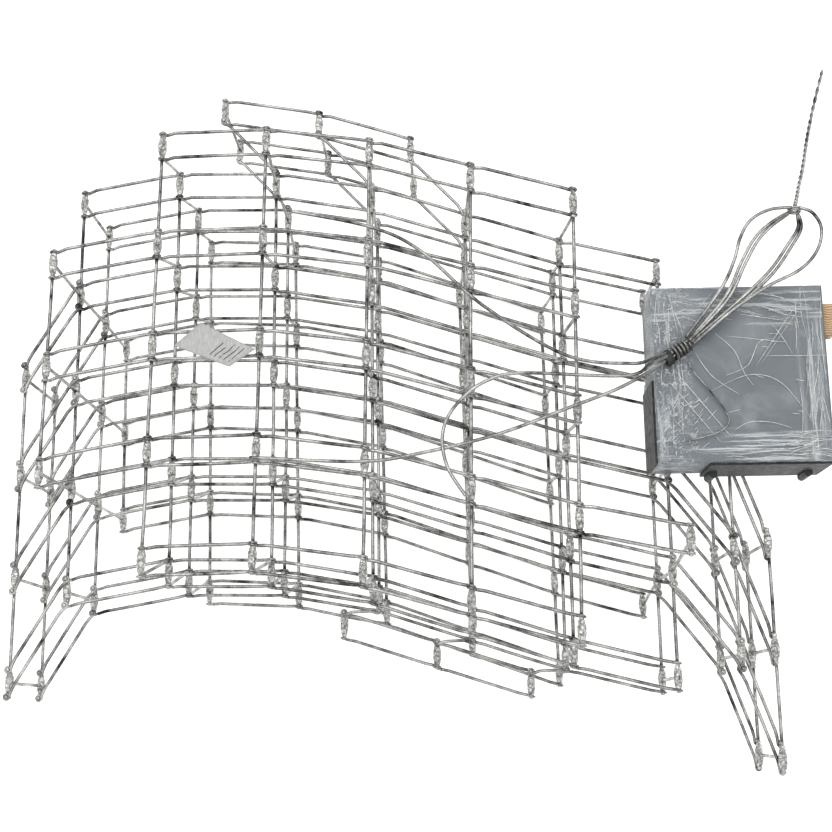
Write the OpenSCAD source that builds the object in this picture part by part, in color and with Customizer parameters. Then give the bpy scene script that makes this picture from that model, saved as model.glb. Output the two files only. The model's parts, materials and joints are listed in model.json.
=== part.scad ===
// Folding wire crab trap: four stacked wire grids joined by ferrules, with folding side wings,
// two folding edge strips, a bait box with a drawer, and a lashed wire bridle.

/* [Grid] */
// Centre distance of two ferrules, along the rods, the uprights and the spacer links
cell = 75; // [60:1:90]
// Diameter of the wire
wire_d = 2.2; // [1.6:0.1:2.2]

/* [Ferrules] */
// Length of a ferrule
ferrule_len = 22; // [18:1:24]
// Largest diameter of a ferrule
ferrule_d = 6.4; // [5:0.1:6.4]
// Distance from a ferrule's centre to the knob that holds a rod
knob_offset = 9.5; // [8:0.5:10]

/* [Wings] */
// Angle of the left wing's rods below the horizontal
left_angle = 59; // [0:1:75]
// Angle of the right wing's inner rods below the horizontal
inner_angle = 53; // [0:1:75]
// Angle of the right wing's outer rods below the horizontal
outer_angle = 71; // [0:1:75]

/* [Edge strips] */
// Length of an arm of the upper strip
upper_arm_len = 60; // [50:1:70]
// Direction of the upper strip's arms, from +X
upper_arm_angle = 133; // [90:1:148]
// Length of an arm of the lower strip
lower_arm_len = 27; // [24:1:32]
// Direction of the lower strip's arms, from +X
lower_arm_angle = 182; // [182:1:260]

/* [Bait box] */
// Size of the bait box along X
box_x = 120; // [110:1:126]
// Size of the bait box along Y
box_y = 125; // [118:1:130]
// Height of the bait box
box_z = 50; // [40:1:54]
// Wall thickness of the bait box
box_wall = 2.4; // [2:0.1:3]

/* [Hidden] */

// Place of the second column's middle ferrule, with the origin under the middle of the whole trap
anchor = [-182.92, 37.23];
// Slope of each bay from the left, in degrees
bay_slope = [10, -1, -10, -18, -18, -14];
// How much steeper or flatter each grid runs, and how far its columns lean, from the top grid down
grid_turn = [2, 0, 0, -2];
grid_lean = [-1, 0, 0, 1];
// Number of ferrules in a full column, and of grids in the stack
rows = 5;
layers = 4;
// Column that all grids share
anchor_column = 1;
last_column = 6;
middle_row = 2;
wire_r = wire_d / 2;
wire_fn = 24;
// Height of the bottom grid's centre plane, with its ferrules on the floor
bottom_z = ferrule_d / 2;
// Hinge pins and the flat eyes that turn on them
pin_r = 1;
eye_bore_r = 1.06;
eye_r = 2.9;
eye_lift = 4.6;
eye_thick = 2.5;
pin_top = 6.2;
pin_root = 1.4;
// Rods and links end this far from a ferrule's axis, inside the ferrule
rod_inset = 1.3;
link_inset = 2.6;
// An upright enters each ferrule this far
upright_bite = 0.3;
knob_r = 1.8;
// An eye rod enters each of its eyes this far
eye_bite = 0.6;
// Rows of each wing
left_rows = [1, 2, 3, 4];
right_rows = [1, 2, 3];
strip_columns = [2, 3, 4];
low_columns = [3, 4, 5];
moving_grids = [1, 2];

function dir(angle) = [cos(angle), sin(angle)];
function grid_z(g) = bottom_z + (layers - 1 - g) * cell;
function column_xy(c, g) =
    c == anchor_column ? anchor
    : c > anchor_column ? column_xy(c - 1, g) + cell * dir(bay_slope[c - 1] + turn(c, g))
    : column_xy(c + 1, g) - cell * dir(bay_slope[c] + turn(c, g));
function turn(c, g) = c > anchor_column ? grid_turn[g] : 0;
function up_dir(g) = dir(90 + grid_lean[g]);
function at_xyz(xy, z) = [xy[0], xy[1], z];
function node_at(c, r, g) = at_xyz(column_xy(c, g) + (middle_row - r) * cell * up_dir(g), grid_z(g));
function outer_grid(g) = g == 0 || g == layers - 1;
// The outer grids lack the corner ferrules, and the top grid ends short beside the bait box
function has_node(c, r, g) =
    !outer_grid(g) ? true
    : c == 0 ? r >= 1 && r <= 3
    : c == last_column ? r == 3
    : true;
function knob_sign(side) = side == 0 ? 1 : -1;

left_step = cell * dir(180 + left_angle);
inner_step = cell * dir(-inner_angle);
outer_step = cell * dir(-outer_angle);
upper_step = upper_arm_len * dir(upper_arm_angle) + [0, 2 * knob_offset];
lower_step = lower_arm_len * dir(lower_arm_angle) - [0, 2 * knob_offset];
function shift(p, step) = [p[0] + step[0], p[1] + step[1], p[2]];

wire_colour = [0.60, 0.60, 0.58];
ferrule_colour = [0.66, 0.66, 0.65];
dark_colour = [0.24, 0.26, 0.27];
box_colour = [0.45, 0.49, 0.53];

// A straight wire between two points
module wire(a, b, r = wire_r) {
    d = b - a;
    flat = norm([d[0], d[1]]);
    translate(a)
        rotate([0, atan2(flat, d[2]), atan2(d[1], d[0])])
            cylinder(r = r, h = norm(d), $fn = wire_fn);
}

// A wire that stops short of both points
module short_wire(a, b, inset) {
    u = (b - a) / norm(b - a);
    wire(a + inset * u, b - inset * u);
}

// A spindle ferrule around a column wire
module ferrule(p, lean = 0) {
    half = ferrule_len / 2;
    bulge = ferrule_d / 2;
    translate(p)
        rotate([-90, 0, lean])
            rotate_extrude($fn = 32)
                polygon([[0, -half], [knob_r, -half], [bulge, -0.35 * half], [bulge, 0.35 * half],
                         [knob_r, half], [0, half]]);
}

function knob(p, side, g) = p + knob_sign(side) * knob_offset * at_xyz(up_dir(g), 0);

module grid_rods(g) {
    for (r = [0 : rows - 1])
        for (c = [0 : last_column - 1])
            if (has_node(c, r, g) && has_node(c + 1, r, g))
                for (side = [0, 1])
                    short_wire(knob(node_at(c, r, g), side, g), knob(node_at(c + 1, r, g), side, g),
                               rod_inset);
}

module grid_uprights(g) {
    for (c = [0 : last_column])
        for (r = [0 : rows - 2])
            if (has_node(c, r, g) && has_node(c, r + 1, g))
                short_wire(node_at(c, r, g), node_at(c, r + 1, g), ferrule_len / 2 - upright_bite);
}

module outer_grid_uprights() {
    grid_uprights(0);
    grid_uprights(layers - 1);
}

module middle_grid_uprights() {
    for (g = moving_grids)
        grid_uprights(g);
}

module grid_ferrules(g) {
    for (c = [0 : last_column])
        for (r = [0 : rows - 1])
            if (has_node(c, r, g))
                ferrule(node_at(c, r, g), grid_lean[g]);
}

// Columns that carry hinge pins have upright links, so that the turning rods pass them
function plain_link(c, r) = c == 0 || c == last_column || (r == 0 && c >= 2 && c <= 4);

module spacer_link(c, r, g) {
    upper = node_at(c, r, g);
    lower = node_at(c, r, g + 1);
    if (plain_link(c, r))
        short_wire(upper, lower, link_inset);
    else
        short_wire(knob(upper, 1, g), knob(lower, 0, g + 1), pin_root);
}

module spacer_links() {
    for (g = [0 : layers - 2])
        for (c = [0 : last_column])
            for (r = [0 : rows - 1])
                if (has_node(c, r, g) && has_node(c, r, g + 1))
                    spacer_link(c, r, g);
}

// A pin on a knob, pointing up or down from the grid's plane
module hinge_pin(p, up = 1) {
    base = up > 0 ? pin_root : -pin_top;
    translate(p + [0, 0, base])
        cylinder(r = pin_r, h = pin_top - pin_root, $fn = 32);
}

// A rod with a flat eye at each end, turning on two pins
module eye_rod(p, step, lift) {
    a = p + [0, 0, lift];
    b = shift(a, step);
    difference() {
        union() {
            short_wire(a, b, eye_r - eye_bite);
            for (q = [a, b])
                translate(q - [0, 0, eye_thick / 2])
                    cylinder(r = eye_r, h = eye_thick, $fn = 32);
        }
        for (q = [a, b])
            translate(q - [0, 0, eye_thick])
                cylinder(r = eye_bore_r, h = 2 * eye_thick, $fn = 32);
    }
}

module left_rod(r, side) {
    for (g = moving_grids)
        eye_rod(knob(node_at(0, r, g), side, g), left_step, eye_lift);
}

module inner_rod(r, side) {
    for (g = moving_grids)
        eye_rod(knob(node_at(last_column, r, g), side, g), inner_step, eye_lift);
}

module outer_rod(r, side) {
    for (g = moving_grids)
        eye_rod(shift(knob(node_at(last_column, r, g), side, g), inner_step), outer_step, -eye_lift);
}

// The ferrules of a moving column, at the given step from a fixed column
module moved_ferrules(c, rows_used, step) {
    for (g = moving_grids)
        for (r = rows_used)
            ferrule(shift(node_at(c, r, g), step));
}

// The uprights, spacer links and pins of a moving column
module moved_wires(c, rows_used, step, pin_ways) {
    last = rows_used[len(rows_used) - 1];
    for (r = rows_used) {
        for (g = moving_grids) {
            p = shift(node_at(c, r, g), step);
            if (r < last)
                short_wire(p, shift(node_at(c, r + 1, g), step), ferrule_len / 2 - upright_bite);
            for (side = [0, 1])
                for (way = pin_ways)
                    hinge_pin(knob(p, side, g), way);
        }
        short_wire(shift(node_at(c, r, 1), step), shift(node_at(c, r, 2), step), link_inset);
    }
}

module hinge_pins() {
    color(wire_colour)
        for (g = moving_grids) {
            for (r = left_rows)
                for (side = [0, 1])
                    hinge_pin(knob(node_at(0, r, g), side, g));
            for (r = right_rows)
                for (side = [0, 1])
                    hinge_pin(knob(node_at(last_column, r, g), side, g));
            for (c = strip_columns)
                hinge_pin(knob(node_at(c, 0, g), 0, g));
            if (g == 2)
                for (c = low_columns)
                    hinge_pin(knob(node_at(c, rows - 1, g), 1, g));
        }
}

module upper_arm(i) {
    color(wire_colour)
        for (g = moving_grids)
            eye_rod(knob(node_at(strip_columns[i], 0, g), 0, g),
                    upper_arm_len * dir(upper_arm_angle), eye_lift);
}

module lower_arm(i) {
    color(wire_colour)
        eye_rod(knob(node_at(low_columns[i], rows - 1, 2), 1, 2),
                lower_arm_len * dir(lower_arm_angle), eye_lift);
}

module strip_ferrules(columns, r, step, grids) {
    color(ferrule_colour)
        for (g = grids)
            for (c = columns)
                ferrule(shift(node_at(c, r, g), step));
}

// Rods between a strip's ferrules, and the pins at one of their knobs
module strip_wires(columns, r, step, grids, pin_side) {
    color(wire_colour)
        for (g = grids)
            for (i = [0 : len(columns) - 1]) {
                p = shift(node_at(columns[i], r, g), step);
                hinge_pin(knob(p, pin_side, g));
                if (i < len(columns) - 1)
                    for (side = [0, 1])
                        short_wire(knob(p, side, g),
                                   knob(shift(node_at(columns[i + 1], r, g), step), side, g), rod_inset);
            }
}

module upper_strip_wires() {
    strip_wires(strip_columns, 0, upper_step, moving_grids, 1);
    color(wire_colour)
        for (c = strip_columns)
            short_wire(shift(node_at(c, 0, 1), upper_step), shift(node_at(c, 0, 2), upper_step), link_inset);
}

// Bait box, held just above the upper middle grid's pins at the right edge
box_corner = [anchor[0] + 350, anchor[1] - 85, grid_z(1) + 8.5];
base_h = 4;
base_inset = [3, 1.5];
drawer_gap = 0.4;
drawer_h = 38;
end_gap = 0.1;

module bait_box_housing() {
    color(box_colour)
        translate(box_corner + [0, 0, base_h])
            difference() {
                cube([box_x, box_y, box_z - base_h]);
                translate([box_wall, box_wall, box_wall])
                    cube([box_x, box_y - 2 * box_wall, box_z - base_h - 2 * box_wall]);
            }
}

module bait_box_base() {
    color(dark_colour)
        translate(box_corner + [base_inset[0], base_inset[1], 0])
            cube([box_x - 2 * base_inset[0], box_y - 2 * base_inset[1], base_h]);
}

// Dark panels on the box's front and left faces, the front one with two round buffers
panel_thick = 2;
panel_h = 45;
front_panel_x = 36;
left_panel_y = 59;
buffer_r = 3;
buffer_h = 20;
buffer_out = 3.2;
module box_side_panels() {
    color(dark_colour)
        translate(box_corner) {
            translate([front_panel_x, -panel_thick, 0])
                cube([box_x - front_panel_x, panel_thick, panel_h]);
            for (x = [front_panel_x + 6, box_x - 11])
                translate([x, -buffer_out, 0])
                    cylinder(r = buffer_r, h = buffer_h, $fn = 32);
            translate([-panel_thick, 0, 0])
                cube([panel_thick, left_panel_y, panel_h]);
        }
}

module bait_drawer() {
    floor_z = base_h + box_wall + drawer_gap;
    depth = box_x - box_wall - drawer_gap - end_gap;
    width = box_y - 2 * box_wall - 2 * drawer_gap;
    color(box_colour)
        translate(box_corner + [box_wall + drawer_gap, box_wall + drawer_gap, floor_z])
            difference() {
                cube([depth, width, drawer_h]);
                translate([box_wall, box_wall, box_wall])
                    cube([depth - 2 * box_wall, width - 2 * box_wall, drawer_h]);
            }
}

module wooden_pull_tab() {
    color([0.72, 0.58, 0.40])
        translate(box_corner + [box_x - end_gap, 91, base_h + 26])
            cube([9, 22, 14]);
}

film_gap = 0.3;
film_thick = 0.5;
module film_wrap() {
    color([0.80, 0.84, 0.87])
        translate(box_corner + [0, 0, box_z + film_gap])
            cube([box_x, box_y, film_thick]);
}

// Lashing on the box: five wraps and a clamp over the bridle's wires
lash_at = box_corner + [17, 78, box_z + 7];
wrap_r = 4.6;
module lashing_wraps() {
    color(wire_colour)
        for (i = [-2 : 2])
            translate(lash_at)
                rotate([0, 0, 35])
                    translate([3.2 * i, 0, 0])
                        rotate([0, 90, 0])
                            rotate_extrude($fn = 32)
                                translate([wrap_r, 0])
                                    circle(r = 1.2, $fn = 16);
}

module lashing_clamp() {
    color(dark_colour)
        translate(lash_at)
            rotate([0, 0, 35])
                translate([-13, 0, 0])
                    rotate([0, 90, 0])
                        difference() {
                            cylinder(r = 5.5, h = 5, $fn = 32);
                            translate([0, 0, -1])
                                cylinder(r = 3.4, h = 7, $fn = 32);
                        }
}

// Smooth curve through hand-set points
function blend(p0, p1, p2, p3, t) =
    0.5 * (2 * p1 + (p2 - p0) * t + (2 * p0 - 5 * p1 + 4 * p2 - p3) * t * t
           + (3 * p1 - p0 - 3 * p2 + p3) * t * t * t);
function clamp_index(i, n) = max(0, min(n - 1, i));
function curve(points, steps) =
    let (n = len(points))
    [for (i = [0 : n - 2], k = [0 : steps - 1])
        blend(points[clamp_index(i - 1, n)], points[i], points[i + 1], points[clamp_index(i + 2, n)],
              k / steps),
     points[n - 1]];
function unit(v) = v / norm(v);
function tangent(path, i) = unit(path[min(i + 1, len(path) - 1)] - path[max(i - 1, 0)]);
function ring(centre, t, r, sides) =
    let (a = unit(cross(t, [0, 0, 1])), b = cross(a, t))
    [for (k = [0 : sides - 1])
        centre + r * cos(360 * k / sides) * a + r * sin(360 * k / sides) * b];

// A round tube swept along a path
module tube(path, r, sides = 8) {
    n = len(path);
    points = [for (i = [0 : n - 1]) each ring(path[i], tangent(path, i), r, sides)];
    walls = [for (i = [0 : n - 2], k = [0 : sides - 1])
                [i * sides + k, i * sides + (k + 1) % sides,
                 (i + 1) * sides + (k + 1) % sides, (i + 1) * sides + k]];
    first = [for (k = [sides - 1 : -1 : 0]) k];
    last = [for (k = [0 : sides - 1]) (n - 1) * sides + k];
    polyhedron(points, concat([first], walls, [last]));
}

// Routes are given from the lashing's centre
loop_points = [
    [[4, 8, 2.5], [30, 42, 5], [40, 62, 7], [45, 78, 8], [53, 91, 8], [67, 99, 7], [83, 101, 5.5]],
    [[9, 3, 2.5], [34, 24, 5], [61, 42, 7], [85, 54, 8], [98, 68, 8], [102, 84, 8], [97, 96, 7],
     [88, 101, 5.5]],
    [[6, 6, -1.5], [34, 36, 2], [47, 61, 3], [57, 78, 3.5], [68, 89, 3.5], [82, 98.5, 2]],
    [[8, 5, -1.5], [42, 32, 2], [66, 54, 3], [80, 73, 3.5], [88, 86, 3.5], [88, 97, 2]]
];
bridle_r = 1;
module bridle_loops() {
    color(wire_colour)
        for (points = loop_points)
            translate(lash_at)
                tube(curve(points, 4), bridle_r);
}

// Two wires twisted round each other, ending bare
tail_points = [[86, 103, 4], [89, 115, 4], [94, 134, 4], [98, 153, 4], [104, 176, 4], [113, 206, 4]];
module hauling_tail() {
    color(wire_colour)
        translate(lash_at)
            tube(curve(tail_points, 4), 1.6);
}

// Springy wires that lie on the top grid and end at the lashing; points from the anchor, and height
// above the level at which the wires rest
stay_z = grid_z(0) + ferrule_d / 2 + 1.6;
function rests(points) = [for (p = points) [anchor[0] + p[0], anchor[1] + p[1], stay_z + p[2]]];
stay_points = [
    [[96, 96, 0], [152, 83, 0], [187, 65, 0], [230, 24, 0], [286, -13, 0], [330, -20, 0],
     [347, -15, -6], [360, -9, -13]],
    [[70, -81, 0], [145, -85, 0], [186, -80, 0], [238, -68, 0], [288, -50, 0], [320, -38, 0],
     [346, -23, -7], [362, -11, -14]],
    [[216, -110, 2.6], [205, -92, 2.6], [201, -74, 2.6], [204, -58, 2.6], [215, -43, 2.6],
     [232, -31, 2.6], [256, -26, 2.6], [326, -29, 1.6], [345, -19, -4.8], [358, -12.5, -10.3]]
];
module stay_wires() {
    color(wire_colour)
        for (points = stay_points)
            tube(curve(rests(points), 5), 1.1);
}

module label_tag() {
    color([0.86, 0.87, 0.86])
        translate([anchor[0], anchor[1], grid_z(0) + ferrule_d / 2 + 0.4])
            linear_extrude(height = 0.6)
                polygon([[16, -1], [35, 15], [73, -5], [55, -17]]);
}

color(wire_colour) grid_rods(0);  // top_grid_rods
color(wire_colour) grid_rods(1);  // upper_middle_grid_rods
color(wire_colour) grid_rods(2);  // lower_middle_grid_rods
color(wire_colour) grid_rods(3);  // bottom_grid_rods
color(wire_colour) outer_grid_uprights();
color(wire_colour) middle_grid_uprights();
color(ferrule_colour) grid_ferrules(0);  // top_grid_ferrules
color(ferrule_colour) grid_ferrules(1);  // upper_middle_grid_ferrules
color(ferrule_colour) grid_ferrules(2);  // lower_middle_grid_ferrules
color(ferrule_colour) grid_ferrules(3);  // bottom_grid_ferrules
color(wire_colour) spacer_links();
hinge_pins();
color(wire_colour) left_rod(1, 0);  // left_rod_1_upper
color(wire_colour) left_rod(1, 1);  // left_rod_1_lower
color(wire_colour) left_rod(2, 0);  // left_rod_2_upper
color(wire_colour) left_rod(2, 1);  // left_rod_2_lower
color(wire_colour) left_rod(3, 0);  // left_rod_3_upper
color(wire_colour) left_rod(3, 1);  // left_rod_3_lower
color(wire_colour) left_rod(4, 0);  // left_rod_4_upper
color(wire_colour) left_rod(4, 1);  // left_rod_4_lower
color(ferrule_colour) moved_ferrules(0, left_rows, left_step);  // left_foot_ferrules
color(wire_colour) moved_wires(0, left_rows, left_step, [1]);  // left_foot_wires
color(wire_colour) inner_rod(1, 0);  // inner_rod_1_upper
color(wire_colour) inner_rod(1, 1);  // inner_rod_1_lower
color(wire_colour) inner_rod(2, 0);  // inner_rod_2_upper
color(wire_colour) inner_rod(2, 1);  // inner_rod_2_lower
color(wire_colour) inner_rod(3, 0);  // inner_rod_3_upper
color(wire_colour) inner_rod(3, 1);  // inner_rod_3_lower
color(ferrule_colour) moved_ferrules(last_column, right_rows, inner_step);  // right_middle_ferrules
color(wire_colour) moved_wires(last_column, right_rows, inner_step, [1, -1]);  // right_middle_wires
color(wire_colour) outer_rod(1, 0);  // outer_rod_1_upper
color(wire_colour) outer_rod(1, 1);  // outer_rod_1_lower
color(wire_colour) outer_rod(2, 0);  // outer_rod_2_upper
color(wire_colour) outer_rod(2, 1);  // outer_rod_2_lower
color(wire_colour) outer_rod(3, 0);  // outer_rod_3_upper
color(wire_colour) outer_rod(3, 1);  // outer_rod_3_lower
color(ferrule_colour) moved_ferrules(last_column, right_rows, inner_step + outer_step);  // right_foot_ferrules
color(wire_colour) moved_wires(last_column, right_rows, inner_step + outer_step, [-1]);  // right_foot_wires
upper_arm(0);  // upper_arm_1
upper_arm(1);  // upper_arm_2
upper_arm(2);  // upper_arm_3
strip_ferrules(strip_columns, 0, upper_step, moving_grids);  // upper_strip_ferrules
upper_strip_wires();
lower_arm(0);  // lower_arm_1
lower_arm(1);  // lower_arm_2
lower_arm(2);  // lower_arm_3
strip_ferrules(low_columns, rows - 1, lower_step, [2]);  // lower_strip_ferrules
strip_wires(low_columns, rows - 1, lower_step, [2], 0);  // lower_strip_wires
bait_box_housing();
bait_box_base();
box_side_panels();
bait_drawer();
wooden_pull_tab();
film_wrap();
lashing_wraps();
lashing_clamp();
bridle_loops();
hauling_tail();
stay_wires();
label_tag();
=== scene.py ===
"""Looks for the folding wire crab trap: wires, ferrules, bait box, film, lashing, tag and studio."""
import json
import math
import random
import bpy
import numpy as np
from mathutils import Matrix, Vector, noise


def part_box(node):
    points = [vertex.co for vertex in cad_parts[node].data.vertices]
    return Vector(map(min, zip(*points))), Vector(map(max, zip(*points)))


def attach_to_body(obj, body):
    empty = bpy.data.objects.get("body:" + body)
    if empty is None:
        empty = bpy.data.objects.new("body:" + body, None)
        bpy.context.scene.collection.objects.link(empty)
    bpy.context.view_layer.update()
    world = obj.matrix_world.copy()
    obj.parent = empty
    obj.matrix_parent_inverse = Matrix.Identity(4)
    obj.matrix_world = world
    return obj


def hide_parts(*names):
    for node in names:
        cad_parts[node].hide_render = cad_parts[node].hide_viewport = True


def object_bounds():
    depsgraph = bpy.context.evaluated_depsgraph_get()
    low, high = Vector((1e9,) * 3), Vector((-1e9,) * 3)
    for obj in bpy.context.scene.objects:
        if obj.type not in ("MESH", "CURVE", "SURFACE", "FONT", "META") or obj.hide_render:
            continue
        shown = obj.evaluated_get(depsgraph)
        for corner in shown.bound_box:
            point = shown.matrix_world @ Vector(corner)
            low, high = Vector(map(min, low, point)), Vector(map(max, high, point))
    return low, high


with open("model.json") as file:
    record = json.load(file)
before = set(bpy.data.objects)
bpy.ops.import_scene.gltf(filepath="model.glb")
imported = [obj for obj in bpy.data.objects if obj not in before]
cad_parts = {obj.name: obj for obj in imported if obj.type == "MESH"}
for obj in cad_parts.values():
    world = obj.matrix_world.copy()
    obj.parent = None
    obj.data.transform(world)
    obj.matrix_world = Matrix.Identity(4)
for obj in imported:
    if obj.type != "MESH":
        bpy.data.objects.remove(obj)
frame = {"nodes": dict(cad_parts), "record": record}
cad_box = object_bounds()
bodies = frame["record"]["behaviour"]["bodies"]
body_of_node = {node: body for body, nodes in bodies.items() for node in nodes}

MM = 0.001
WIRE_R = 1.3 * MM
KNOB_RING_R = 2.35 * MM
KNOB_WIRE_R = 0.95 * MM
ROD_INSET = 1.3 * MM
PIN_MAX_LEN = 8 * MM
EYE_OUTER_R = 2.9 * MM
EYE_RING_R = 1.98 * MM
EYE_WIRE_R = 0.88 * MM
EYE_LEAD = 7 * MM
BRIDLE_R = 1.25 * MM
PAIR_OFFSET = 1.5 * MM

# Camera: place over the floor, and its turn about Z, tilt off straight down and roll, in degrees
CAMERA_AT = Vector((0.0252, -0.2165, 1.118))
CAMERA_YAW, CAMERA_TILT, CAMERA_ROLL = 7.06, 12.8, 7.9
CAMERA_LENS = 57.7


# ---------------------------------------------------------------- camera

def make_camera():
    """A camera above the trap, looking almost straight down."""
    yaw, tilt, roll = (math.radians(a) for a in (CAMERA_YAW, CAMERA_TILT, CAMERA_ROLL))
    turned = Matrix.Rotation(yaw, 4, "Z") @ Matrix.Rotation(tilt, 4, "X") @ Matrix.Rotation(-roll, 4, "Z")
    data = bpy.data.cameras.new("camera")
    data.lens = CAMERA_LENS
    camera = bpy.data.objects.new("camera", data)
    camera.matrix_world = Matrix.Translation(CAMERA_AT) @ turned
    bpy.context.scene.collection.objects.link(camera)
    bpy.context.scene.camera = camera


# ---------------------------------------------------------------- mesh helpers

class Parts:
    """Collects many pieces of geometry into one mesh object."""

    def __init__(self):
        self.verts = []
        self.faces = []

    def rings(self, rings, cap=True):
        """Join rings of equal length into a closed skin."""
        start = len(self.verts)
        sides = len(rings[0])
        for ring in rings:
            self.verts.extend(ring)
        for i in range(len(rings) - 1):
            low, high = start + i * sides, start + (i + 1) * sides
            for k in range(sides):
                m = (k + 1) % sides
                self.faces.append((low + k, low + m, high + m, high + k))
        if cap:
            end = start + (len(rings) - 1) * sides
            self.faces.append(tuple(start + k for k in reversed(range(sides))))
            self.faces.append(tuple(end + k for k in range(sides)))

    def tube(self, path, radius, sides=8):
        """Sweep a round wire along a path. The radius is one number or one for each point."""
        path = [Vector(p) for p in path]
        radii = radius if isinstance(radius, list) else [radius] * len(path)
        side = None
        rings = []
        for i, point in enumerate(path):
            along = (path[min(i + 1, len(path) - 1)] - path[max(i - 1, 0)]).normalized()
            if side is None:
                side = along.orthogonal()
            side = (side - along * side.dot(along)).normalized()
            up = along.cross(side)
            rings.append([point + radii[i] * (math.cos(t) * side + math.sin(t) * up)
                          for t in (2 * math.pi * k / sides for k in range(sides))])
        self.rings(rings)

    def object(self, name, material, smooth=True):
        mesh = bpy.data.meshes.new(name)
        mesh.from_pydata(self.verts, [], self.faces)
        mesh.update()
        for polygon in mesh.polygons:
            polygon.use_smooth = smooth
        mesh.materials.append(material)
        thing = bpy.data.objects.new(name, mesh)
        bpy.context.scene.collection.objects.link(thing)
        return thing


def islands(node):
    """The separate solids of a CAD node, each as an array of points."""
    mesh = frame["nodes"][node].data
    points = np.empty(len(mesh.vertices) * 3)
    mesh.vertices.foreach_get("co", points)
    points = points.reshape(-1, 3)
    _, welded = np.unique(np.round(points * 1e6).astype(np.int64), axis=0, return_inverse=True)
    welded = welded.reshape(-1)
    parent = list(range(int(welded.max()) + 1))

    def root(i):
        while parent[i] != i:
            parent[i] = parent[parent[i]]
            i = parent[i]
        return i

    for edge in mesh.edges:
        a, b = root(welded[edge.vertices[0]]), root(welded[edge.vertices[1]])
        if a != b:
            parent[b] = a
    groups = {}
    for i, w in enumerate(welded):
        groups.setdefault(root(w), []).append(i)
    return [points[index] for _, index in sorted(groups.items())]


def axis_ends(points):
    """The two ends of a straight solid's axis."""
    centre = (points.min(axis=0) + points.max(axis=0)) / 2
    spread = points - points.mean(axis=0)
    _, vectors = np.linalg.eigh(spread.T @ spread)
    along = vectors[:, 2]
    reach = (points - centre) @ along
    return Vector(centre + along * reach.min()), Vector(centre + along * reach.max())


def attach(thing, nodes):
    """A new piece stands for these CAD nodes and moves with their body."""
    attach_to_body(thing, body_of_node[nodes[0]])
    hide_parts(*nodes)


def curve(points, steps):
    """A smooth curve through the points."""
    points = [Vector(p) for p in points]
    path = []
    for i in range(len(points) - 1):
        p0, p1, p2 = points[max(i - 1, 0)], points[i], points[i + 1]
        p3 = points[min(i + 2, len(points) - 1)]
        for k in range(steps):
            t = k / steps
            path.append(0.5 * (2 * p1 + (p2 - p0) * t + (2 * p0 - 5 * p1 + 4 * p2 - p3) * t * t
                               + (3 * p1 - p0 - 3 * p2 + p3) * t * t * t))
    path.append(points[-1])
    return path


# ---------------------------------------------------------------- materials

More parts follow.
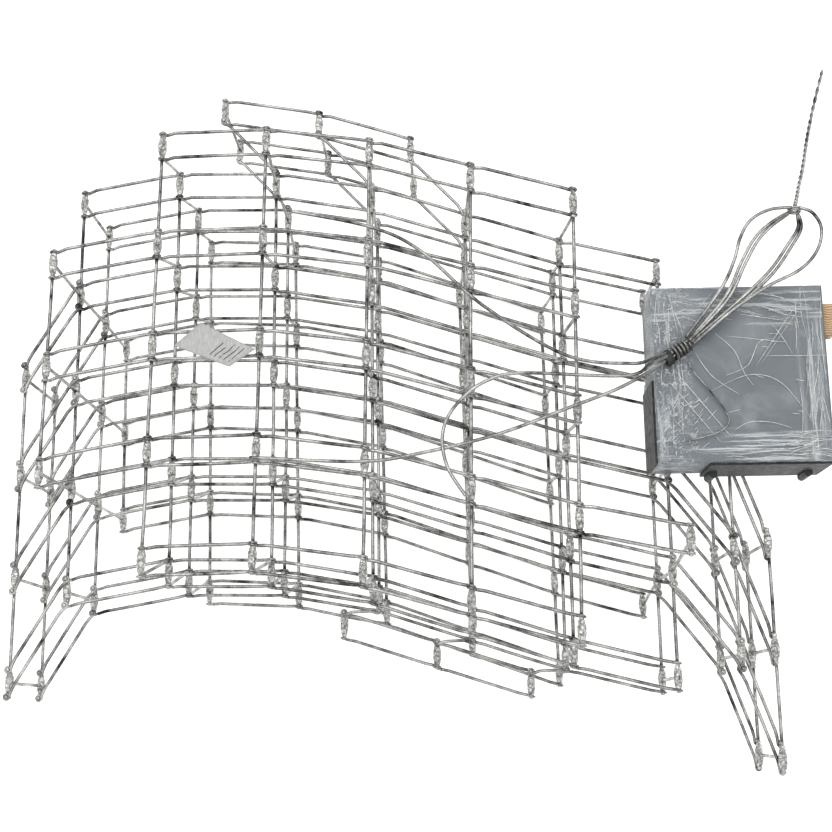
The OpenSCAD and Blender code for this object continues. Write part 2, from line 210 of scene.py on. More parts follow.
class Shader:
    """A node material with short calls."""

    def __init__(self, name):
        self.material = bpy.data.materials.new(name)
        self.material.use_nodes = True
        self.nodes = self.material.node_tree.nodes
        self.links = self.material.node_tree.links
        self.bsdf = self.nodes["Principled BSDF"]
        self.place = self.nodes.new("ShaderNodeTexCoord").outputs["Object"]

    def set(self, name, value):
        self.bsdf.inputs[name].default_value = value

    def join(self, output, name):
        self.links.new(output, self.bsdf.inputs[name])

    def noise(self, scale, detail=4.0, roughness=0.6, distortion=0.0):
        node = self.nodes.new("ShaderNodeTexNoise")
        node.inputs["Scale"].default_value = scale
        node.inputs["Detail"].default_value = detail
        node.inputs["Roughness"].default_value = roughness
        node.inputs["Distortion"].default_value = distortion
        self.links.new(self.place, node.inputs["Vector"])
        return node.outputs["Fac"]

    def cells(self, scale, feature="F1"):
        node = self.nodes.new("ShaderNodeTexVoronoi")
        node.feature = feature
        node.inputs["Scale"].default_value = scale
        self.links.new(self.place, node.inputs["Vector"])
        return node.outputs["Distance"]

    def wave(self, scale, direction, distortion=2.0):
        node = self.nodes.new("ShaderNodeTexWave")
        node.bands_direction = direction
        node.inputs["Scale"].default_value = scale
        node.inputs["Distortion"].default_value = distortion
        node.inputs["Detail"].default_value = 3
        self.links.new(self.place, node.inputs["Vector"])
        return node.outputs["Fac"]

    def stretched(self, scale_x, scale_y, detail=4.0, turn=0.0):
        """Noise drawn out along one axis: scales are per metre, the turn is in degrees about Z."""
        mapping = self.nodes.new("ShaderNodeMapping")
        mapping.inputs["Scale"].default_value = (scale_x, scale_y, scale_x)
        mapping.inputs["Rotation"].default_value = (0, 0, math.radians(turn))
        self.links.new(self.place, mapping.inputs["Vector"])
        node = self.nodes.new("ShaderNodeTexNoise")
        node.inputs["Scale"].default_value = 1
        node.inputs["Detail"].default_value = detail
        node.inputs["Roughness"].default_value = 0.65
        self.links.new(mapping.outputs[0], node.inputs["Vector"])
        return node.outputs["Fac"]

    def along(self, origin, direction):
        """Distance from the origin along a direction, in metres."""
        away = self.nodes.new("ShaderNodeVectorMath")
        away.operation = "SUBTRACT"
        away.inputs[1].default_value = origin
        self.links.new(self.place, away.inputs[0])
        dot = self.nodes.new("ShaderNodeVectorMath")
        dot.operation = "DOT_PRODUCT"
        dot.inputs[1].default_value = direction
        self.links.new(away.outputs[0], dot.inputs[0])
        return dot.outputs["Value"]

    def rise(self, value, start, end):
        """0 at start, 1 at end, held outside them."""
        node = self.nodes.new("ShaderNodeMapRange")
        node.interpolation_type = "SMOOTHSTEP"
        node.inputs["From Min"].default_value = start
        node.inputs["From Max"].default_value = end
        self.links.new(value, node.inputs["Value"])
        return node.outputs["Result"]

    def ramp(self, factor, stops):
        node = self.nodes.new("ShaderNodeValToRGB")
        ramp = node.color_ramp
        while len(ramp.elements) < len(stops):
            ramp.elements.new(0.5)
        for element, (at, colour) in zip(ramp.elements, stops):
            element.position = at
            element.color = colour if len(colour) == 4 else (*colour, 1)
        self.links.new(factor, node.inputs["Fac"])
        return node.outputs["Color"]

    def math(self, operation, a, b):
        node = self.nodes.new("ShaderNodeMath")
        node.operation = operation
        for socket, value in zip(node.inputs, (a, b)):
            if isinstance(value, (int, float)):
                socket.default_value = value
            else:
                self.links.new(value, socket)
        return node.outputs[0]

    def mix(self, factor, a, b, blend="MIX"):
        node = self.nodes.new("ShaderNodeMixRGB")
        node.blend_type = blend
        for socket, value in zip(node.inputs, (factor, a, b)):
            if isinstance(value, (int, float)):
                socket.default_value = value
            elif isinstance(value, tuple):
                socket.default_value = (*value, 1)
            else:
                self.links.new(value, socket)
        return node.outputs[0]

    def bump(self, height, strength, distance):
        node = self.nodes.new("ShaderNodeBump")
        node.inputs["Strength"].default_value = strength
        node.inputs["Distance"].default_value = distance
        self.links.new(height, node.inputs["Height"])
        self.join(node.outputs["Normal"], "Normal")


def grey(v):
    return (v, v, v * 0.98)


def wire_material():
    """Drawn galvanised wire: bright stretches, dark patches of painted shade in its colour, fine die marks.
    """
    s = Shader("drawn_wire")
    # Base colour: the dark patches of this noise are painted shade, standing in for the dark streaks along
    # the wires
    base = s.ramp(s.noise(48, 5, 0.65), [(0.34, grey(0.03)), (0.43, grey(0.20)), (0.55, grey(0.42)),
                                         (0.75, grey(0.62))])
    specks = s.ramp(s.noise(800, 3, 0.7), [(0.38, grey(0.35)), (0.54, grey(1.0))])
    s.join(s.mix(0.5, base, specks, "MULTIPLY"), "Base Color")
    s.set("Metallic", 0.85)
    s.join(s.ramp(s.noise(260, 4), [(0.35, grey(0.16)), (0.7, grey(0.40))]), "Roughness")
    s.bump(s.noise(1500, 3, 0.7), 0.35, 0.0002)
    return s.material


def ferrule_material():
    """Crimped sleeve: crumpled bright facets, with painted shade darkening the creases."""
    s = Shader("crimped_sleeve")
    # The cell edges darken the colour: painted shade in the creases
    creases = s.ramp(s.cells(300, "DISTANCE_TO_EDGE"), [(0.0, grey(0.10)), (0.14, grey(1.0))])
    tone = s.ramp(s.noise(230, 5, 0.7, 1.5), [(0.34, grey(0.10)), (0.45, grey(0.55)), (0.62, grey(0.90))])
    s.join(s.mix(0.7, tone, creases, "MULTIPLY"), "Base Color")
    s.set("Metallic", 0.7)
    s.join(s.ramp(s.noise(500, 4), [(0.3, grey(0.18)), (0.7, grey(0.45))]), "Roughness")
    height = s.math("ADD", s.noise(380, 5, 0.7, 1.0), s.math("MULTIPLY", s.cells(300), 1.4))
    s.bump(height, 0.9, 0.0011)
    return s.material


def box_material():
    """Grey-blue moulded plastic with a fine grain and scuffs."""
    s = Shader("box_plastic")
    tone = s.ramp(s.noise(28, 5, 0.6), [(0.3, (0.088, 0.106, 0.124)), (0.7, (0.135, 0.154, 0.173))])
    scuffs = s.ramp(s.noise(140, 6, 0.75, 2.5), [(0.64, grey(0.0)), (0.78, grey(0.35))])
    s.join(s.mix(scuffs, tone, (0.42, 0.46, 0.50)), "Base Color")
    s.join(s.ramp(s.noise(90, 4), [(0.3, grey(0.38)), (0.7, grey(0.62))]), "Roughness")
    s.bump(s.noise(1300, 3, 0.6), 0.25, 0.0003)
    return s.material


def dark_material():
    # Dark plastic; on the box's base and side panels the near-black tone is also painted shade for the sides
    # turned from the light
    s = Shader("dark_plastic")
    tones = [(0.3, (0.010, 0.013, 0.012)), (0.7, (0.034, 0.040, 0.037))]
    s.join(s.ramp(s.noise(120, 5), tones), "Base Color")
    s.join(s.ramp(s.noise(200, 3), [(0.3, grey(0.45)), (0.7, grey(0.75))]), "Roughness")
    s.bump(s.noise(1100, 4, 0.7), 0.4, 0.0003)
    return s.material


def wood_material():
    s = Shader("tab_wood")
    rings = s.wave(180, "Y", 6.0)
    fibre = s.noise(700, 5, 0.7)
    tone = s.ramp(s.math("ADD", s.math("MULTIPLY", rings, 0.6), s.math("MULTIPLY", fibre, 0.4)),
                  [(0.25, (0.30, 0.18, 0.09)), (0.75, (0.66, 0.47, 0.28))])
    s.join(tone, "Base Color")
    s.join(s.ramp(fibre, [(0.3, grey(0.55)), (0.7, grey(0.8))]), "Roughness")
    s.bump(fibre, 0.5, 0.0004)
    return s.material


def film_material():
    """Clear stretch film: nearly invisible where flat, milky in the bands where it is bunched."""
    s = Shader("clear_film")
    low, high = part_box("film_wrap")
    from_left = s.along((low[0], 0, 0), (1000, 0, 0))
    from_front = s.along((0, low[1], 0), (0, 1000, 0))
    wide, deep = (high[0] - low[0]) * 1000, (high[1] - low[1]) * 1000
    milk = None
    bands = [
        (s.rise(from_left, 32, 20), s.noise(210, 6, 0.75, 1.5), 0.50, 0.64, 0.55),
        (s.rise(from_left, 30, 10), s.stretched(260, 18), 0.46, 0.66, 0.40),
        (s.rise(from_left, wide - 24, wide - 14), s.stretched(200, 9), 0.44, 0.68, 0.50),
        (s.rise(from_front, 26, 14), s.stretched(16, 330), 0.47, 0.66, 0.60),
        (s.rise(from_front, deep - 36, deep - 20), s.stretched(22, 260, 4.0, -14), 0.49, 0.66, 0.50),
    ]
    for mask, streaks, start, end, strength in bands:
        part = s.math("MULTIPLY", s.math("MULTIPLY", mask, s.rise(streaks, start, end)), strength)
        milk = part if milk is None else s.math("MAXIMUM", milk, part)
    haze = s.math("MULTIPLY", s.rise(s.noise(22, 4, 0.6, 1.0), 0.45, 0.75), 0.16)
    s.set("Base Color", (0.80, 0.84, 0.86, 1))
    s.join(s.math("ADD", s.math("MAXIMUM", milk, haze), 0.07), "Alpha")
    s.join(s.ramp(s.noise(60, 3), [(0.3, grey(0.10)), (0.7, grey(0.30))]), "Roughness")
    s.bump(s.noise(160, 5, 0.7, 1.0), 0.35, 0.0012)
    return s.material


def crease_material():
    """The film where it is folded double: milky white, a little patchy."""
    s = Shader("film_crease")
    s.join(s.ramp(s.noise(300, 4), [(0.3, grey(0.70)), (0.7, grey(0.95))]), "Base Color")
    s.join(s.ramp(s.noise(240, 4), [(0.35, grey(0.30)), (0.60, grey(0.92))]), "Alpha")
    s.join(s.ramp(s.noise(90, 3), [(0.3, grey(0.15)), (0.7, grey(0.35))]), "Roughness")
    s.bump(s.noise(700, 3), 0.3, 0.0002)
    return s.material


def tag_material():
    """Grey card with a faint fibre and generic slanting pen strokes."""
    s = Shader("tag_card")
    fibre = s.stretched(900, 260, 5.0, 30)
    paper = s.ramp(fibre, [(0.3, grey(0.36)), (0.7, grey(0.56))])
    origin = tuple(anchor + Vector(TAG_CORNERS[0]) * MM)
    across = s.along(origin, (644, -765, 0))
    up = s.along(origin, (765, 644, 0))
    phase = s.math("ADD", s.math("DIVIDE", across, 3.2), s.math("MULTIPLY", s.noise(90, 2), 0.9))
    stroke = s.math("LESS_THAN", s.math("FRACT", phase, 0.0), 0.20)
    above = s.math("SUBTRACT", up, s.math("MULTIPLY", across, 0.52))
    for value, start, end in ((across, 19, 20), (across, 37, 36), (above, 3, 4), (above, 19, 17)):
        stroke = s.math("MULTIPLY", stroke, s.rise(value, start, end))
    stroke = s.math("MULTIPLY", stroke, s.rise(s.noise(240, 3), 0.38, 0.46))
    s.join(s.mix(stroke, paper, (0.03, 0.03, 0.03)), "Base Color")
    s.join(s.ramp(fibre, [(0.3, grey(0.7)), (0.7, grey(0.9))]), "Roughness")
    s.bump(fibre, 0.25, 0.0002)
    return s.material


# ---------------------------------------------------------------- wires and ferrules

def bowed(a, b, rng, bow=0.35 * MM, count=10):
    """Points along a nearly straight wire, slightly bowed and kinked by handling."""
    along = (b - a).normalized()
    side = along.orthogonal().normalized()
    side.rotate(Matrix.Rotation(rng.uniform(0, 2 * math.pi), 3, along))
    sway = rng.uniform(-bow, bow)
    return [a.lerp(b, i / count) + side * (sway * math.sin(math.pi * i / count)) for i in range(count + 1)]


def knob_wrap(centre, heading, shift, turns=1.1, count=14):
    """One turn of wire round a column's knob, leaving from underneath towards heading."""
    column = Vector((-heading.y, heading.x, 0))
    if column.y < 0:
        column = -column
    path = []
    for i in range(count + 1):
        t = 2 * math.pi * turns * (1 - i / count)
        drift = shift * (1 - 0.35 * i / count)
        path.append(centre + column * drift + KNOB_RING_R * (-math.sin(t) * heading
                                                             - math.cos(t) * Vector((0, 0, 1))))
    return path


def rod_path(a, b, rng):
    """A grid rod: a wrap at each knob, and between them a straight run in the grid's plane."""
    heading = (b - a).normalized()
    first, last = a - heading * ROD_INSET, b + heading * ROD_INSET
    shift = 1.0 * MM
    lead = 7 * MM
    start = knob_wrap(first, heading, -shift)
    end = knob_wrap(last, -heading, shift)
    middle = []
    run = bowed(first + heading * 2.2 * MM, last - heading * 2.2 * MM, rng)
    span = (run[-1] - run[0]).length
    column = Vector((-heading.y, heading.x, 0))
    if column.y < 0:
        column = -column
    for i, point in enumerate(run):
        near_start = max(0.0, 1 - span * i / (len(run) - 1) / lead)
        near_end = max(0.0, 1 - span * (1 - i / (len(run) - 1)) / lead)
        drop = KNOB_RING_R * (near_start ** 2 + near_end ** 2)
        aside = 0.65 * shift * (near_end - near_start)
        middle.append(point - Vector((0, 0, drop)) + column * aside)
    path = start + middle + list(reversed(end))
    radii = [KNOB_WIRE_R] * len(start) + [WIRE_R] * len(middle) + [KNOB_WIRE_R] * len(end)
    return path, radii


def add_pin(parts, a, b):
    """A hinge pin with a domed, hammered head at its outer end."""
    low, high = (a, b) if a.z < b.z else (b, a)
    up = Vector((0, 0, 1))
    length = high.z - low.z
    profile = [(0, 1.0), (0.82, 1.0), (0.86, 1.5), (0.93, 1.55), (1.0, 0.7)]
    flip = body_pin_points_down(low, high)
    path, radii = [], []
    for t, r in profile:
        path.append(high - up * length * t if flip else low + up * length * t)
        radii.append(r * MM)
    parts.tube(path, radii, 12)


grid_levels = sorted((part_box(node)[0][2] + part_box(node)[1][2]) / 2 for node in
                     ("bottom_grid_ferrules", "lower_middle_grid_ferrules",
                      "upper_middle_grid_ferrules", "top_grid_ferrules"))


def body_pin_points_down(low, high):
    """True for a pin whose nearest grid plane is above it."""
    middle = (low.z + high.z) / 2
    level = min(grid_levels, key=lambda z: abs(z - middle))
    return middle < level


def build_wires(node, material):
    """Rebuild a node of straight wires and pins with real wire ends."""
    rng = random.Random(node)
    parts = Parts()
    for points in islands(node):
        a, b = axis_ends(points)
        if (b - a).length < PIN_MAX_LEN:
            add_pin(parts, a, b)
        elif abs(b.x - a.x) > abs(b.z - a.z) and abs(b.x - a.x) > abs(b.y - a.y) * 0.5:
            if a.x > b.x:
                a, b = b, a
            path, radii = rod_path(a, b, rng)
            parts.tube(path, radii)
        else:
            parts.tube(bowed(a, b, rng), WIRE_R)
    thing = parts.object(node + "_wire", material)
    attach(thing, [node])


def eye_turn(centre, heading, side, count=18):
    """Almost a full turn round a pin, ending where the rod's straight run starts."""
    return [centre + EYE_RING_R * (math.cos(t) * heading + math.sin(t) * side)
            for t in (math.pi / 2 + 2 * math.pi * 0.95 * (1 - i / count) for i in range(count + 1))]


def build_eye_rods(node, material):
    """Rebuild a node of eye rods as wires with a loop wound round the pin at each end."""
    rng = random.Random(node)
    parts = Parts()
    for points in islands(node):
        a, b = axis_ends(points)
        heading = (b - a).normalized()
        a, b = a + heading * EYE_OUTER_R, b - heading * EYE_OUTER_R
        side = Vector((-heading.y, heading.x, 0))
        run = bowed(a, b, rng, 0.3 * MM, 16)
        length = (b - a).length
        middle = []
        for i, point in enumerate(run[1:-1], 1):
            near = min(i, len(run) - 1 - i) / (len(run) - 1) * length
            lean = max(0.0, 1 - near / EYE_LEAD)
            middle.append(point + side * EYE_RING_R * lean * lean * (3 - 2 * lean))
        end = eye_turn(b, -heading, side)
        path = eye_turn(a, heading, side) + middle + list(reversed(end))
        radii = [EYE_WIRE_R] * (len(end)) + [WIRE_R] * len(middle) + [EYE_WIRE_R] * len(end)
        parts.tube(path, radii)
    attach(parts.object(node + "_wire", material), [node])


def ferrule_rings(a, b, rng, count=22, sides=14):
    """A crimped spindle with a bead at each end and a wound, crumpled belly."""
    along = (b - a).normalized()
    length = (b - a).length
    side = along.orthogonal().normalized()
    up = along.cross(side)
    seed = Vector((rng.uniform(0, 50), rng.uniform(0, 50), rng.uniform(0, 50)))
    plump = rng.uniform(1.0, 1.12)
    skew = rng.uniform(0.85, 1.2)
    rings = []
    for i in range(count + 1):
        t = i / count
        swell = min(1, max(0, (t - 0.10) / 0.80)) ** skew
        belly = 1.35 + 1.75 * math.sin(math.pi * swell) ** 0.7 * plump
        bead = 2.15 * math.exp(-((t - 0.035) / 0.045) ** 2) + 2.15 * math.exp(-((t - 0.965) / 0.045) ** 2)
        base = max(belly, bead) if 0.02 < t < 0.98 else 1.2
        ring = []
        for k in range(sides):
            angle = 2 * math.pi * k / sides
            direction = math.cos(angle) * side + math.sin(angle) * up
            dent = noise.noise(seed + direction * 1.3 + Vector((0, 0, t * 6.5)))
            wound = 0.13 * math.sin(2 * math.pi * 7 * t + 2 * angle)
            r = min(3.2, base * (1 + 0.16 * dent) + wound)
            ring.append(a + along * (t * length) + direction * (r * MM))
        rings.append(ring)
    return rings


def build_ferrules(node, material):
    rng = random.Random(node)
    parts = Parts()
    for points in islands(node):
        a, b = axis_ends(points)
        parts.rings(ferrule_rings(a, b, rng))
    thing = parts.object(node + "_sleeves", material)
    attach(thing, [node])


# ---------------------------------------------------------------- lashing, bridle, tail and stays

wrap_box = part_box("lashing_wraps")
lash = (Vector(wrap_box[0]) + Vector(wrap_box[1])) / 2
anchor = Vector((-0.18292, 0.03723, 0))
LASH_TURN = math.radians(35)
LASH_WRAPS = 5
LASH_STEPS = 20
LASH_LENGTH = 14.0
LASH_COIL_R = 4.5

LOOPS = [
    [(4, 8, 2.5), (30, 42, 5), (40, 62, 7), (45, 78, 8), (53, 91, 8), (67, 99, 7), (83, 101, 5.5)],
    [(9, 3, 2.5), (34, 24, 5), (61, 42, 7), (85, 54, 8), (98, 68, 8), (102, 84, 8), (97, 96, 7),
     (88, 101, 5.5)],
    [(6, 6, -1.5), (34, 36, 2), (47, 61, 3), (57, 78, 3.5), (68, 89, 3.5), (82, 98.5, 2)],
    [(8, 5, -1.5), (42, 32, 2), (66, 54, 3), (80, 73, 3.5), (88, 86, 3.5), (88, 97, 2)],
]
TAIL = [(86, 103, 4), (89, 115, 4), (94, 134, 4), (98, 153, 4), (104, 176, 4), (113, 206, 4)]
STAYS = [
    [(96, 96, 0), (152, 83, 0), (187, 65, 0), (230, 24, 0), (286, -13, 0), (330, -20, 0),
     (347, -15, -6), (360, -9, -13)],
    [(70, -81, 0), (145, -85, 0), (186, -80, 0), (238, -68, 0), (288, -50, 0), (320, -38, 0),
     (346, -23, -7), (362, -11, -14)],
    [(216, -110, 2.6), (205, -92, 2.6), (201, -74, 2.6), (204, -58, 2.6), (215, -43, 2.6),
     (232, -31, 2.6), (256, -26, 2.6), (326, -29, 1.6), (345, -19, -4.8), (358, -12.5, -10.3)],
]

# The lashing's loose end, in mm from the box's front left corner
LASHING_END = [(23.5, 70), (26.5, 62.5), (34, 53), (47, 34), (48, 25.5), (39, 19), (19.5, 14)]
TAG_CORNERS = [(16, -1, 0), (35, 15, 0), (73, -5, 0), (55, -17, 0)]


def from_lash(points):
    return [lash + Vector(p) * MM for p in points]


def build_lashing(material):
    """A wire wound five times round the bridle's ends, with its two tails tucked along."""
    parts = Parts()
    turn = Matrix.Rotation(LASH_TURN, 3, "Z")
    path = []
    for i in range(LASH_WRAPS * LASH_STEPS + 1):
        t = i / LASH_STEPS
        angle = 2 * math.pi * t
        local = Vector((LASH_LENGTH * t / LASH_WRAPS - LASH_LENGTH / 2,
                        LASH_COIL_R * math.sin(angle), LASH_COIL_R * math.cos(angle))) * MM
        path.append(lash + turn @ local)
    parts.tube(path, 1.15 * MM, 10)
    for y, z, start, end in ((2.0, 1.2, -12, 12), (-1.4, 1.8, -11, 10), (0.3, -1.8, -13, 11)):
        ends = [lash + turn @ (Vector((x, y + 0.4 * math.sin(x), z)) * MM) for x in range(start, end, 3)]
        parts.tube(ends, 1.0 * MM, 8)
    low = Vector(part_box("film_wrap")[0])
    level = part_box("film_wrap")[1][2] + 2.4 * MM
    loose = [Vector((low.x + x * MM, low.y + y * MM, level)) for x, y in LASHING_END]
    parts.tube(curve(loose, 8), 0.6 * MM, 8)
    attach(parts.object("lashing_coil", material), ["lashing_wraps"])


def build_bridle(material):
    """Two single loops outside two paired ones, bound where they meet."""
    parts = Parts()
    for number, points in enumerate(LOOPS):
        line = curve(from_lash(points), 10)
        for offset in (0,) if number < 2 else (-PAIR_OFFSET, PAIR_OFFSET):
            strand = []
            for i, point in enumerate(line):
                along = line[min(i + 1, len(line) - 1)] - line[max(i - 1, 0)]
                apart = math.sin(math.pi * i / (len(line) - 1)) ** 0.5
                strand.append(point + along.cross(Vector((0, 0, 1))).normalized() * offset * apart)
            parts.tube(strand, BRIDLE_R, 10)
    gather = from_lash([(85.3, 99.4, 3.8)])[0]
    for i in range(2):
        ring = []
        for k in range(19):
            a = 2 * math.pi * k / 18
            local = Vector((4.2 * math.cos(a), 1.6 * i - 0.8 + 0.5 * math.sin(a), 3.4 * math.sin(a)))
            ring.append(gather + local * MM)
        parts.tube(ring, 0.8 * MM, 8)
    attach(parts.object("bridle_wires", material), ["bridle_loops"])


def build_tail(material):
    """Two wires twisted round each other."""
    parts = Parts()
    line = curve(from_lash(TAIL), 26)
    for phase in (0, math.pi):
        strand, radii = [], []
        for i, point in enumerate(line):
            along = (line[min(i + 1, len(line) - 1)] - line[max(i - 1, 0)]).normalized()
            side = along.cross(Vector((0, 0, 1))).normalized()
            angle = phase + 2 * math.pi * i / 11
            taper = 1 - 0.25 * i / len(line)
            around = math.cos(angle) * side + math.sin(angle) * Vector((0, 0, 1))
            strand.append(point + 0.8 * MM * taper * around)
            radii.append(0.95 * MM * taper)
        parts.tube(strand, radii, 8)
    attach(parts.object("hauling_tail_twist", material), ["hauling_tail"])


def build_stays(material):
    parts = Parts()
    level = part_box("top_grid_ferrules")[1][2] + 1.6 * MM
    for points in STAYS:
        route = [anchor + Vector((x, y, 0)) * MM + Vector((0, 0, level + z * MM)) for x, y, z in points]
        parts.tube(curve(route, 12), BRIDLE_R, 10)
    attach(parts.object("stay_wires_run", material), ["stay_wires"])


# ---------------------------------------------------------------- box, film and tag

# The film's main creases, in mm from the box's front left corner, scaled to the box's final size
FILM_CREASES = [
    [(50.5, 89), (92.5, 83.5)], [(78, 74), (119, 73.5)],
    [(49, 60.5), (64.5, 67.5), (73, 83.5), (83, 86.5)],
    [(43, 91), (55.5, 78.5), (61.5, 62.5), (67.5, 53)],
    [(38, 49.5), (58.5, 59), (73, 60.5), (86, 55), (96.5, 42.5), (111, 19)],
    [(52.5, 21.5), (63.5, 27), (78, 26.5), (91.5, 22.5)],
    [(105.5, 111.5), (74, 68.5)], [(103.5, 114.5), (70, 66.5)],
    [(13.5, 64.5), (50.5, 16)], [(9, 57), (43, 12.5)],
    [(28.5, 77.5), (39, 60.5), (57.5, 46.5)], [(30, 107), (43, 121)],
    [(49, 34), (57.5, 36)], [(11.5, 29.5), (16.5, 23.5)],
    [(34, 28.5), (41, 36)], [(82, 98.5), (90, 87), (96.5, 74)],
]


def spread(value, start, end):
    """0 at start, 1 at end, smooth between and held outside."""
    t = min(1.0, max(0.0, (value - start) / (end - start)))
    return t * t * (3 - 2 * t)


def film_height(x, y, size_x, size_y):
    """Height of the film over the box: flat in the middle and crumpled towards its edges."""
    bunched = max(spread(x, 30, 18), spread(y, 24, 12), 0.8 * spread(y, size_y - 34, size_y - 20),
                  0.6 * spread(x, size_x - 24, size_x - 14), 0.12)
    ridge = (1 - min(1.0, 3 * abs(noise.noise(Vector((x * 0.10, y * 0.07, 3.1)))))) ** 2
    fine = (1 - min(1.0, 3 * abs(noise.noise(Vector((x * 0.31, y * 0.24, 8.7)))))) ** 2
    return bunched * (1.2 * ridge + 0.7 * fine)


def random_creases(size_x, size_y):
    """Short creases in the bunched bands: upright at the sides, level at the front and back."""
    rng = random.Random(11)
    routes = []
    bands = [
        (22, (size_x - 22, size_x - 2), (18, size_y - 14), 88, (14, 46)),
        (18, (50, size_x - 4), (2, 20), 1, (12, 40)),
        (18, (18, size_x - 20), (size_y - 26, size_y - 3), -12, (10, 34)),
        (16, (2, 20), (8, size_y - 12), 90, (10, 34)),
        (40, (2, 34), (8, 46), 40, (2, 7)),
        (16, (6, 30), (size_y - 40, size_y - 10), 20, (2, 8)),
        (14, (size_x - 34, size_x - 6), (8, 22), 20, (3, 10)),
        (9, (52, 100), (30, 100), -10, (2, 8)),
    ]
    for count, xs, ys, turn, lengths in bands:
        for _ in range(count):
            angle = math.radians(turn + rng.gauss(0, 7))
            reach = rng.uniform(*lengths) / 2
            x, y = rng.uniform(*xs), rng.uniform(*ys)
            dx, dy = reach * math.cos(angle), reach * math.sin(angle)
            bend = rng.uniform(-0.12, 0.12)
            points = [(x - dx, y - dy), (x - bend * dy, y + bend * dx), (x + dx, y + dy)]
            routes.append([(min(size_x - 1, max(1, px)), min(size_y - 1, max(1, py))) for px, py in points])
    return routes


def build_creases(material, low, top, size_x, size_y):
    """Thin folded ridges lying on the film."""
    rng = random.Random(5)
    parts = Parts()
    for route in FILM_CREASES + random_creases(size_x, size_y):
        path = curve([(x, y, 0) for x, y in route], 12)
        thick = rng.uniform(0.16, 0.34) * MM
        last = len(path) - 1
        points = [Vector((low.x + p.x * MM, low.y + p.y * MM,
                          top + film_height(p.x, p.y, size_x, size_y) * MM + 0.15 * MM)) for p in path]
        radii = [thick * (0.25 + 0.75 * math.sin(math.pi * (0.04 + 0.92 * i / last)))
                 for i in range(last + 1)]
        parts.tube(points, radii, 6)
    attach(parts.object("film_creases", material), ["film_wrap"])


def build_film(material, crease):
    """Stretch film drawn over the top and down the back and part of the left and front."""
    low, high = (Vector(c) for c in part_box("bait_box_housing"))
    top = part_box("film_wrap")[1][2]
    size_x, size_y = (high.x - low.x) / MM, (high.y - low.y) / MM
    long_skirt, short_skirt = 36, 4
    step = 1.5
    parts = Parts()
    us = [-long_skirt + i * step for i in range(int((size_x + long_skirt) / step) + 1)]
    vs = [-long_skirt + i * step for i in range(int((size_y + 2 * long_skirt) / step) + 1)]
    for v in vs:
        for u in us:
            x, y = max(u, 0), min(max(v, 0), size_y)
            rise = film_height(x, y, size_x, size_y)
            over_left, over_front, over_back = u < 0, v < 0, v > size_y
            long = max(spread(u, 34, 28) * (not over_left) if over_front else 0,
                       spread(y, 61, 68) if over_left and not over_front else 0, float(over_back))
            limit = short_skirt + (long_skirt - short_skirt) * long
            fall = min(max(0, -u, -v, v - size_y), limit)
            fall *= 0.9 + 0.2 * noise.noise(Vector((u * 0.06, v * 0.06, 0)))
            out = (0.5 + 0.5 * abs(noise.noise(Vector((u * 0.12, v * 0.12, 5))))) * min(1, fall)
            px = x - (out if over_left else 0)
            py = y + (out if over_back else -out if over_front else 0)
            parts.verts.append(Vector((low.x + px * MM, low.y + py * MM, top + (rise - fall) * MM)))
    width = len(us)
    for j in range(len(vs) - 1):
        for i in range(width - 1):
            corner = j * width + i
            parts.faces.append((corner, corner + 1, corner + width + 1, corner + width))
    attach(parts.object("film_skin", material), ["film_wrap"])
    build_creases(crease, low, top, size_x, size_y)


def build_tag(material):
    """A four-cornered card with a slight curl."""
    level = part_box("label_tag")[0][2]
    corners = [anchor + Vector(c) * MM for c in TAG_CORNERS]
    count = 14
    parts = Parts()
    for lift in (0, 0.45 * MM):
        for j in range(count + 1):
            for i in range(count + 1):
                s, t = i / count, j / count
                p = corners[0].lerp(corners[3], s).lerp(corners[1].lerp(corners[2], s), t)
                curl = 1.8 * MM * (2 * s - 1) ** 2 * (0.4 + 0.6 * t)
                parts.verts.append(Vector((p.x, p.y, level + lift + curl)))
    row = count + 1
    layer = row * row
    for j in range(count):
        for i in range(count):
            a, b, c, d = j * row + i, j * row + i + 1, (j + 1) * row + i + 1, (j + 1) * row + i
            parts.faces.append((a, d, c, b))
            parts.faces.append((layer + a, layer + b, layer + c, layer + d))
    rim = ([i for i in range(row)] + [j * row + count for j in range(1, row)]
           + [count * row + i for i in reversed(range(count))] + [j * row for j in reversed(range(1, count))])
    for k, a in enumerate(rim):
        b = rim[(k + 1) % len(rim)]
        parts.faces.append((a, b, layer + b, layer + a))
    attach(parts.object("label_card", material), ["label_tag"])


def dress(node, material, bevel=0.0):
    """Keep a CAD node's shape, round its edges and give it a material."""
    thing = frame["nodes"][node]
    thing.data.materials.clear()
    thing.data.materials.append(material)
    if bevel:
        modifier = thing.modifiers.new("rounded_edges", "BEVEL")
        modifier.width = bevel
        modifier.segments = 3
        modifier.limit_method = "ANGLE"


# ---------------------------------------------------------------- studio

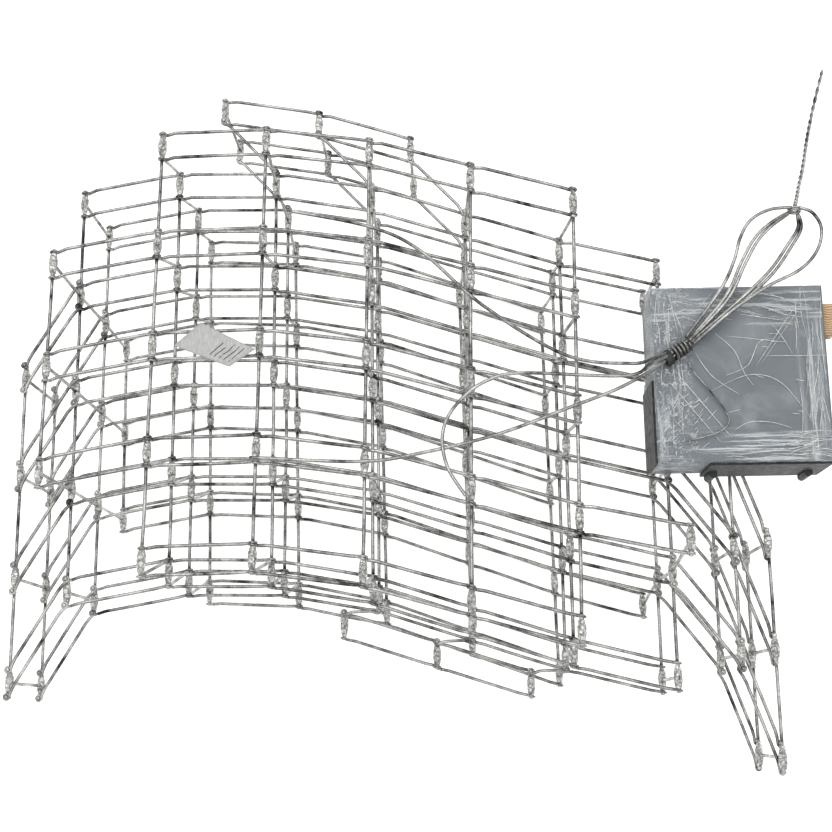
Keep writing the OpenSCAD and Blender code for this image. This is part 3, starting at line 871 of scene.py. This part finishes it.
def build_sky():
    """A white ceiling over a dark band near the horizon, so that bright metal shows dark edges."""
    world = bpy.data.worlds.new("studio")
    world.use_nodes = True
    nodes, links = world.node_tree.nodes, world.node_tree.links
    split = nodes.new("ShaderNodeSeparateXYZ")
    links.new(nodes.new("ShaderNodeTexCoord").outputs["Generated"], split.inputs[0])
    ramp = nodes.new("ShaderNodeValToRGB")
    stops = [(0.0, 0.8), (0.05, 0.10), (0.48, 0.14), (0.70, 1.0)]
    while len(ramp.color_ramp.elements) < len(stops):
        ramp.color_ramp.elements.new(0.5)
    for element, (at, level) in zip(ramp.color_ramp.elements, stops):
        element.position = at
        element.color = (level, level, level, 1)
    links.new(split.outputs["Z"], ramp.inputs["Fac"])
    links.new(ramp.outputs["Color"], nodes["Background"].inputs["Color"])
    nodes["Background"].inputs["Strength"].default_value = 1.25
    bpy.context.scene.world = world


def build_studio():
    low, high = cad_box
    parts = Parts()
    parts.verts = [Vector((x, y, low[2] - 0.0005)) for x, y in ((-4, -4), (4, -4), (4, 4), (-4, 4))]
    parts.faces = [(0, 1, 2, 3)]
    s = Shader("studio_floor")
    s.join(s.ramp(s.noise(3, 3), [(0.3, grey(0.90)), (0.7, grey(0.93))]), "Base Color")
    s.set("Roughness", 0.85)
    s.set("Emission Color", (1, 1, 0.99, 1))
    s.set("Emission Strength", 0.55)
    floor = parts.object("studio_floor", s.material)
    build_sky()
    for name, at, size, power in (("key", (-0.7, 0.8, 2.2), 1.8, 14), ("fill", (1.2, -0.7, 2.0), 2.2, 8)):
        data = bpy.data.lights.new(name, "AREA")
        data.size = size
        data.energy = power
        light = bpy.data.objects.new(name, data)
        light.location = at
        light.rotation_euler = (-Vector(at)).to_track_quat("-Z", "Y").to_euler()
        bpy.context.scene.collection.objects.link(light)
    bpy.context.scene.view_settings.view_transform = "Standard"


# ---------------------------------------------------------------- build

WIRE_ENDINGS = ("_grid_rods", "_uprights", "_links", "_pins",
                "_foot_wires", "_middle_wires", "_strip_wires")

make_camera()
wire = wire_material()
sleeve = ferrule_material()
for name in list(frame["nodes"]):
    if name.endswith("_ferrules"):
        build_ferrules(name, sleeve)
    elif name.endswith(WIRE_ENDINGS):
        build_wires(name, wire)
    elif "_rod_" in name or "_arm_" in name:
        build_eye_rods(name, wire)
build_lashing(wire)
build_bridle(wire)
build_tail(wire)
build_stays(wire)
plastic = box_material()
dark = dark_material()
dress("bait_box_housing", plastic, 1.2 * MM)
dress("bait_drawer", plastic, 0.8 * MM)
dress("bait_box_base", dark, 0.8 * MM)
# The base and side panels take the near-black colour, partly as painted shade on the box's sides
dress("box_side_panels", dark, 0.8 * MM)
dress("lashing_clamp", dark, 0.5 * MM)
dress("wooden_pull_tab", wood_material(), 1.0 * MM)
build_film(film_material(), crease_material())
build_tag(tag_material())
build_studio()
